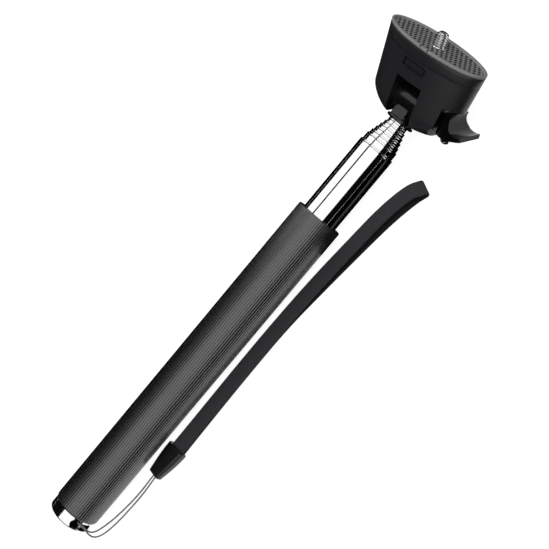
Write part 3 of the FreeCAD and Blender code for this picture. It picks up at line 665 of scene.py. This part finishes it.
HEAD_WIDE, HEAD_DEEP = 31.9, 12.85
HEAD_TOP, HEAD_TAPER = 34.1, 0.118
FOOT_LEVEL, FOOT_BLEND = -7.9, 8.9
FOOT_WIDE, FOOT_DEEP = 0.66, 0.8
SEAM_LEVEL, COVER_TOP, COVER_THICK = 26.6, 32.5, 1.8
HEAD_WALL = 2.0
CHANNEL_HALF, CHANNEL_BACK, CHANNEL_TOP = 8.5, 9.3, 14.4
NOTCH_FACE, NOTCH_TOP = 18.6, 11.4
CHAMBER_FLOOR = 16.6
BOLT_BORE = 2.1
SCREW_HOLE = 3.5
AROUND_HEAD = 168


def oval_ring(level, inset=0.0, share_wide=1.0, share_deep=1.0):
    """Points round the head at a level; the head narrows away from the pad."""
    wide = (HEAD_WIDE - (HEAD_TOP - level) * HEAD_TAPER) * share_wide - inset
    deep = HEAD_DEEP * share_deep - inset
    return [(wide * c, deep * s, level) for c, s in on_circle(AROUND_HEAD)]


def round_ring(level, radius, count=AROUND_HEAD):
    """Points round a circle at a level."""
    return [(radius * c, radius * s, level) for c, s in on_circle(count)]


def foot_ring(share):
    """The rounded foot: 0 is its lowest ring, 1 is where the straight wall starts."""
    rise = 1 - (1 - share) ** 2
    share_wide = FOOT_WIDE + (1 - FOOT_WIDE) * rise ** 0.85
    share_deep = FOOT_DEEP + (1 - FOOT_DEEP) * rise ** 0.5
    return oval_ring(FOOT_LEVEL + FOOT_BLEND * share, 0.0, share_wide, share_deep)


def rod(name, start, direction, radius, length, place, segments=64):
    """A plain cylinder that is cut away from a piece or joined to it."""
    turn = Vector((0, 0, 1)).rotation_difference(Vector(direction)).to_matrix()
    rings = [[tuple(Vector(start) + turn @ Vector(p)) for p in round_ring(reach, radius, segments)]
             for reach in (0, length)]
    return loft(name, rings, place)


def make_head_body():
    """The housing with its channel, lever notch, chamber and a plain recessed badge."""
    rings = [foot_ring(n / 14) for n in range(15)]
    rings += [oval_ring(level) for level in (5, 10, 15, 20, 24, SEAM_LEVEL)]
    body = loft("head_housing", rings, HEAD)
    chamber = loft("chamber", [oval_ring(level, HEAD_WALL) for level in (CHAMBER_FLOOR, SEAM_LEVEL + 1)],
                   HEAD)
    channel = block("channel", (-CHANNEL_HALF, -14, -9), (CHANNEL_HALF, CHANNEL_BACK, CHANNEL_TOP), HEAD)
    notch = block("notch", (NOTCH_FACE, -8.5, -9), (34, 14, NOTCH_TOP), HEAD)
    pocket = block("pocket", (-21, -4.8, -4.6), (-11.5, 4.8, SEAM_LEVEL), HEAD)
    bore = rod("bore", (-12.5, 0, 0), (1, 0, 0), BOLT_BORE, 32, HEAD)
    badge = block("badge", (-8, -14, 20.4), (7, -11.3, 25.0), HEAD)
    carve(body, [chamber, channel, notch, pocket, bore, badge])
    fit(soften(body, 0.35), "head", "black_plastic", HEAD_PLASTIC, "head_body")
    plate = block("badge_plate", (-6.7, -12.3, 21.6), (5.7, -11.2, 23.8), HEAD)
    fit(soften(plate, 0.18), "head", "black_plastic", COVER_PLASTIC)


def oval_shell(name, rings):
    """A closed shell through rings, the last joined to the first."""
    points = [p for ring in rings for p in ring]
    return add_mesh(name, points, grid_faces(len(rings), AROUND_HEAD, close_rows=True), HEAD)


def make_cover():
    """The rim above the seam, with a small gap that shows as a fine line."""
    low, under, edge = SEAM_LEVEL, COVER_TOP - COVER_THICK, 0.22
    rings = [oval_ring(low + 0.02, edge), oval_ring(low + 0.1, 0.08), oval_ring(low + edge, 0)]
    rings += [oval_ring(level) for level in (28.5, 30.5, COVER_TOP - edge)]
    rings += [oval_ring(COVER_TOP, edge), oval_ring(COVER_TOP, 8), round_ring(COVER_TOP, SCREW_HOLE),
              round_ring(under, SCREW_HOLE), oval_ring(under, 8), oval_ring(under, HEAD_WALL),
              oval_ring(low + 0.02, HEAD_WALL)]
    fit(oval_shell("head_rim_cover", rings), "head", "black_plastic", COVER_PLASTIC, "head_cover")


PAD_RIM = 1.9
PAD_FACE = HEAD_TOP - 0.7
PAD_TUCK, PAD_HOLE = 0.35, 3.3
DOT_ALONG, DOT_ACROSS, DOT_DEEP = 3.1, 4.2, 0.2
DOT_LEVEL, DOT_EDGE = 0.04, 0.1


def make_pad():
    """A light rubber rim with a tab at the front, round a dotted face."""
    roll = 0.4
    shoulder = HEAD_TOP - roll
    rings = [oval_ring(COVER_TOP + 0.02, 0.25), oval_ring(COVER_TOP + 0.2, 0.05)]
    rings += [oval_ring(shoulder + s, roll - c) for s, c in quarter(roll, 4)]
    rings += [oval_ring(shoulder + c, PAD_RIM - roll + s) for s, c in quarter(roll, 4)]
    rings += [oval_ring(PAD_FACE - 0.3, PAD_RIM), oval_ring(COVER_TOP + 0.02, PAD_RIM)]
    rim = oval_shell("pad_rim", rings)
    slots = [block("slot", (x - 0.45, -14, HEAD_TOP - 1.2), (x + 0.45, -10.2, HEAD_TOP + 1), HEAD)
             for x in (-1.4, 3.4)]
    fit(carve(rim, slots), "head", "pad_rubber", PAD_RIM_RUBBER, "rubber_pad")
    make_pad_face()


def make_pad_face():
    """The pad's face: rows of small round wells, with a hole for the camera screw."""
    step = 0.25
    wide, deep = HEAD_WIDE - PAD_RIM + PAD_TUCK, HEAD_DEEP - PAD_RIM + PAD_TUCK
    columns, rows = int(2 * wide / step) + 1, int(2 * deep / step) + 1
    points, wells, faces = [], [], []
    for row in range(rows):
        for column in range(columns):
            x, y = column * step - wide, row * step - deep
            wave = math.cos(TURN * x / DOT_ALONG) * math.cos(TURN * y / DOT_ACROSS)
            well = min(1.0, max(0.0, (wave - DOT_LEVEL) / DOT_EDGE))
            well = well * well * (3 - 2 * well)
            points.append((x, y, PAD_FACE - DOT_DEEP * well))
            wells.append(well)
    for row in range(rows - 1):
        for column in range(columns - 1):
            x, y = (column + 0.5) * step - wide, (row + 0.5) * step - deep
            if (x / wide) ** 2 + (y / deep) ** 2 < 1 and math.hypot(x, y) > PAD_HOLE:
                corner = row * columns + column
                faces.append((corner, corner + 1, corner + columns + 1, corner + columns))
    face = add_mesh("pad_face", points, faces, HEAD)
    # The well attribute also carries the painted shade of the wells into the colour.
    depth = face.data.attributes.new("well", "FLOAT", "POINT")
    depth.data.foreach_set("value", wells)
    trim = bmesh.new()
    trim.from_mesh(face.data)
    bmesh.ops.delete(trim, geom=[v for v in trim.verts if not v.link_faces], context="VERTS")
    bmesh.ops.solidify(trim, geom=trim.faces[:], thickness=0.2 * MM)
    trim.to_mesh(face.data)
    trim.free()
    fit(face, "head", "pad_rubber", pad_face_material())


def pad_face_material():
    """Grey speckled rubber, with painted shade that turns the wells black."""
    material, nodes, links, shader = new_material("pad_face", (0.1, 0.1, 0.1), 0.6, ior=1.2)
    depth = attribute_of(nodes, "well")
    grain = noise_of(nodes, links, object_space(nodes, links, (2600,) * 3), detail=2.0)
    ground = blend_colours(nodes, links, grain, (0.24, 0.24, 0.245), (0.72, 0.72, 0.725))
    # Painted shade: the colour goes to black down in the wells.
    links.new(blend_colours(nodes, links, depth.outputs["Fac"], ground, (0.003, 0.003, 0.003)),
              shader.inputs["Base Color"])
    bump_from(nodes, links, shader, grain, 4e-5)
    return material


THREAD_PITCH = 1.27
THREAD_MAJOR, THREAD_MINOR = 3.175, 2.45
THREAD_FADE = 0.9
STUD_TOP = 40.8


def make_stud():
    """The camera screw: a helical thread that fades into a bevelled tip, and its hidden head."""
    low, shoulder = COVER_TOP - COVER_THICK, PAD_FACE + 0.4
    around, per_pitch = 56, 12
    rows = int((STUD_TOP - shoulder) / THREAD_PITCH * per_pitch)
    rings = [round_ring(level, SCREW_HOLE, around) for level in (low, PAD_FACE - 0.1)]
    for row in range(rows + 1):
        level = PAD_FACE + (STUD_TOP - PAD_FACE) * row / rows
        fade = min(1.0, (STUD_TOP - level) / THREAD_FADE)
        ring = []
        for n in range(around):
            angle = TURN * n / around
            phase = (level / THREAD_PITCH - angle / TURN) % 1.0
            crest = min(1.0, max(0.0, 1.6 - 3.2 * abs(phase - 0.5) * 1.25))
            reach = THREAD_MINOR + (THREAD_MAJOR - THREAD_MINOR) * crest * (0.25 + 0.75 * fade)
            reach -= 0.5 * (1 - fade)
            ring.append((reach * math.cos(angle), reach * math.sin(angle), level))
        rings.append(ring)
    stud = loft("camera_screw", rings, HEAD)
    head = rod("screw_head", (0, 0, low - 3.4), (0, 0, 1), 6.2, 3.4, HEAD, segments=6)
    carve(stud, [head], "UNION")
    fit(stud, "head", "stud_steel", STUD_STEEL, "camera_stud")


BARREL_RADIUS, BARREL_HALF = 9.0, 8.3
BARREL_AT = 291.7
TAB_HALF, TAB_LEVEL, TAB_DEEP = 4.1, 283.4, 6.9


def make_knuckle():
    """Insert, bevelled flange, round barrel and the rounded tab that stands in front of it."""
    profile = [(258.9, 3.0), (258.9, 4.9), (259.2, 5.2), (278.9, 5.2), (278.9, 7.5), (279.3, 8.1),
               (280.1, 8.1), (280.5, 7.6), (280.5, 6.3), (281.0, 5.95), (BARREL_AT, 5.9),
               (BARREL_AT, 3.0)]
    neck = lathe("knuckle_neck", profile, STICK, segments=96)
    barrel = rod("barrel", (-BARREL_HALF, 0, BARREL_AT), (1, 0, 0), BARREL_RADIUS, 2 * BARREL_HALF,
                 STICK, segments=128)
    tab = [block("tab", (-TAB_HALF, -TAB_DEEP, 280.2), (TAB_HALF, 2, TAB_LEVEL), STICK),
           rod("tab_end", (0, 2, TAB_LEVEL), (0, -1, 0), TAB_HALF, TAB_DEEP + 2, STICK)]
    carve(neck, [barrel] + tab, "UNION")
    carve(neck, [rod("bore", (-9, 0, BARREL_AT), (1, 0, 0), BOLT_BORE, 18, STICK)])
    fit(soften(neck, 0.35, angle=38), "knuckle_body", "knuckle_plastic", KNUCKLE_PLASTIC, "knuckle")


HUB_RADIUS, PIN_AT = 6.3, 25.5
PIN_RADIUS, PIN_DOME, PIN_DOME_HIGH, PIN_DOME_TIP = 1.45, 2.8, 2.4, -8.2


def arc_through(first, middle, last, steps):
    """Points on the circle through three points of a plane, without the last one."""
    (ax, ay), (bx, by), (cx, cy) = first, middle, last
    a, b, c = ax * ax + ay * ay, bx * bx + by * by, cx * cx + cy * cy
    d = 2 * (ax * (by - cy) + bx * (cy - ay) + cx * (ay - by))
    ux = (a * (by - cy) + b * (cy - ay) + c * (ay - by)) / d
    uy = (a * (cx - bx) + b * (ax - cx) + c * (bx - ax)) / d
    start = math.atan2(ay - uy, ax - ux)
    turn = (math.atan2(cy - uy, cx - ux) - start) % TURN
    if (math.atan2(by - uy, bx - ux) - start) % TURN > turn:
        turn -= TURN
    radius = math.hypot(ax - ux, ay - uy)
    angles = [start + turn * n / steps for n in range(steps)]
    return [(ux + radius * math.cos(angle), uy + radius * math.sin(angle)) for angle in angles]


def prism(name, outline, to_point, low, high, place):
    """An outline pushed between two depths."""
    rings = [[to_point(a, b, depth) for a, b in outline] for depth in (low, high)]
    return loft(name, rings, place)


def make_lever():
    """The cam lever: hub, hollow thumb rest and turned-up lip, forked round the bolt's eye."""
    side = [(19.0, -2.6), (18.9, 4.6)]
    side += arc_through((19.9, 6.4), (22.6, 9.4), (26.0, 10.9), 8)
    side += [(26.0, 10.9)]
    side += arc_through((27.5, 10.7), (28.0, 6.2), (31.0, 3.1), 16)
    side += arc_through((31.0, 3.1), (34.4, 2.8), (37.6, 3.9), 10)
    side += [(37.6, 3.9), (38.5, 1.8), (33.0, -0.9), (28.8, -3.4), (21.0, -3.7)]
    waist = [(PIN_AT, HUB_RADIUS), (PIN_AT + 1.6, 6.5), (PIN_AT + 2.8, 7.4), (PIN_AT + 4.2, 8.4)]
    corner = arc_through((36.6, 8.7), (38.0, 8.1), (38.6, 6.7), 6) + [(38.6, 6.7)]
    plan = arc_through((PIN_AT, -HUB_RADIUS), (PIN_AT - HUB_RADIUS, 0), (PIN_AT, HUB_RADIUS), 40)
    plan += waist + corner + [(x, -y) for x, y in (waist[1:] + corner)[::-1]]
    lever = prism("tilt_lever", side, lambda a, b, depth: (a, depth, b), -9.6, 9.6, HEAD)
    outline = prism("plan", plan, lambda a, b, depth: (a, b, depth), -13, 13, HEAD)
    carve(lever, [outline], "INTERSECT")
    fork = [block("fork_side", (18, -3.9, -2.6), (29.4, 3.9, 2.6), HEAD),
            block("fork_back", (18, -3.9, -2.6), (29.4, 11, 2.6), HEAD)]
    hole = rod("pin_hole", (PIN_AT, 0, -13), (0, 0, 1), 1.5, 26, HEAD)
    carve(lever, fork + [hole])
    fit(soften(lever, 0.45, segments=4, angle=28), "lever_body", "lever_plastic", LEVER_PLASTIC, "lever")
    pin = [(PIN_DOME_TIP + PIN_DOME_HIGH * (1 - c), PIN_DOME * s) for s, c in quarter(1, 10)]
    pin += [(-3.9, PIN_DOME), (-3.7, PIN_DOME - 0.2), (-3.7, PIN_RADIUS), (5.2, PIN_RADIUS),
            (5.4, PIN_RADIUS - 0.2), (5.4, 0)]
    fit(lathe("lever_pin_steel", pin, HEAD @ Matrix.Translation((PIN_AT * MM, 0, 0)), segments=64),
        "lever_body", "steel", STUD_STEEL, "lever_pin")


make_head_body()
make_cover()
make_pad()
make_stud()
make_knuckle()
make_lever()


# ------------------------------------------------------------------ plain CAD nodes

NODE_MATERIALS = {
    "end_cap": CAP_CHROME, "cap_core": CLIP_PLASTIC, "lanyard_bar": PLAIN_STEEL,
    "stud_retainer": COVER_PLASTIC, "retainer_screws": PLAIN_STEEL, "cover_screws": PLAIN_STEEL,
    "friction_washers": NYLON, "clamp_bolt": BLACK_STEEL, "clamp_nut": BLACK_STEEL,
    "lever_washer": BLACK_STEEL,
}
for number in range(2, TUBES + 1):
    NODE_MATERIALS["friction_bush_%d" % number] = BUSH_BRASS
for name, material in NODE_MATERIALS.items():
    finish_with(frame["nodes"][name], material)


# ------------------------------------------------------------------ stage and light

# Two domes and the floor enclose everything, out past the camera of every pose and view.
FLOOR_HALF, FLOOR_LEVEL = 15000, -0.05
DOME = [(0, 14500), (4500, 13750), (8500, 11500), (11500, 8250), (13500, 4500), (14250, 25)]
LIGHT_REACH, LIGHT_GLOW, LIGHT_FAR_END = 900, 1.15, 1280


def glowing(name, colour, strength):
    """A surface that only gives light."""
    material = bpy.data.materials.new(name)
    material.use_nodes = True
    nodes = material.node_tree.nodes
    nodes.remove(nodes["Principled BSDF"])
    glow = nodes.new("ShaderNodeEmission")
    glow.inputs["Color"].default_value = (*colour, 1)
    glow.inputs["Strength"].default_value = strength
    material.node_tree.links.new(glow.outputs[0], nodes["Material Output"].inputs[0])
    return material


def seen_by(thing, camera=False, glossy=False, diffuse=False):
    """Which rays meet a piece of the stage."""
    thing.visible_camera = camera
    thing.visible_glossy = glossy
    thing.visible_diffuse = diffuse
    thing.visible_transmission = False
    thing.visible_shadow = False
    return thing


def flat_piece(name, half_x, half_y, place):
    """One flat rectangle of the stage."""
    corners = [(-half_x, -half_y, 0), (half_x, -half_y, 0), (half_x, half_y, 0), (-half_x, half_y, 0)]
    return add_mesh(name, corners, [(0, 1, 2, 3)], place)


def make_floor():
    """A white floor just under the stick, lit from within so that it stays even."""
    floor = flat_piece("floor", FLOOR_HALF, FLOOR_HALF, Matrix.Translation((0, 0, FLOOR_LEVEL * MM)))
    material, nodes, links, shader = new_material("floor", (0.5, 0.5, 0.5), 0.9)
    shader.inputs["Emission Color"].default_value = (1, 1, 1, 1)
    shader.inputs["Emission Strength"].default_value = 0.93
    finish_with(floor, material)
    seen_by(floor, camera=True, glossy=True)


def make_dome(name, strength, **rays):
    """A pale dome: one is the backdrop, another gives even ambient light."""
    dome = lathe(name, DOME, Matrix(), segments=48)
    seen_by(finish_with(dome, glowing(name, (1, 1, 1), strength)), **rays)


def card(name, centre, turn, wide, high, material):
    """A flat card; turn is about the stick's direction, from straight overhead to +Y."""
    place = Matrix.Translation(Vector(centre) * MM) @ Matrix.Rotation(-math.radians(turn), 4, "X")
    return finish_with(flat_piece(name, wide / 2, high / 2, place), material)


def softbox(name, first, last, nearest):
    """A strip light along the stick between two angles from overhead, seen in the chrome."""
    middle = (first + last) / 2
    half = LIGHT_REACH * math.tan(math.radians(last - first) / 2)
    centre = ((nearest + LIGHT_FAR_END) / 2, STICK_Y / MM + LIGHT_REACH * math.sin(math.radians(middle)),
              STICK_Z / MM + LIGHT_REACH * math.cos(math.radians(middle)))
    strip = card(name, centre, middle, LIGHT_FAR_END - nearest, 2 * half,
                 glowing(name, (1, 1, 1), LIGHT_GLOW))
    seen_by(strip, glossy=True)


make_floor()
make_dome("backdrop", 0.98, camera=True)
make_dome("fill", 0.10, diffuse=True)
softbox("overhead_light", -54, 12, nearest=-1120)
softbox("far_light", 21, 69, nearest=-40)
seen_by(card("soft_key", (60, 150, 1100), 8, 2200, 1400, glowing("soft_key", (1, 1, 1), 1.0)),
        diffuse=True)

# Black flags on the floor, seen only in shiny surfaces: first and last along X, near and far along Y.
FLAGS = {"near_flag": (36, 120, -90, -6), "horizon_flag": (-900, 900, -1500, -90),
         "far_flag": (-900, 500, -6, 1500)}
dark = glowing("flag", (0, 0, 0), 0.0)
for name, (first, last, near, far) in FLAGS.items():
    centre = ((first + last) / 2, (near + far) / 2, 0.05)
    seen_by(card(name, centre, 0, last - first, far - near, dark), glossy=True)

world = bpy.data.worlds.new("studio")
world.use_nodes = True
world.node_tree.nodes["Background"].inputs["Color"].default_value = (0.003, 0.003, 0.003, 1)
bpy.context.scene.world = world
bpy.context.scene.view_settings.view_transform = "Standard"
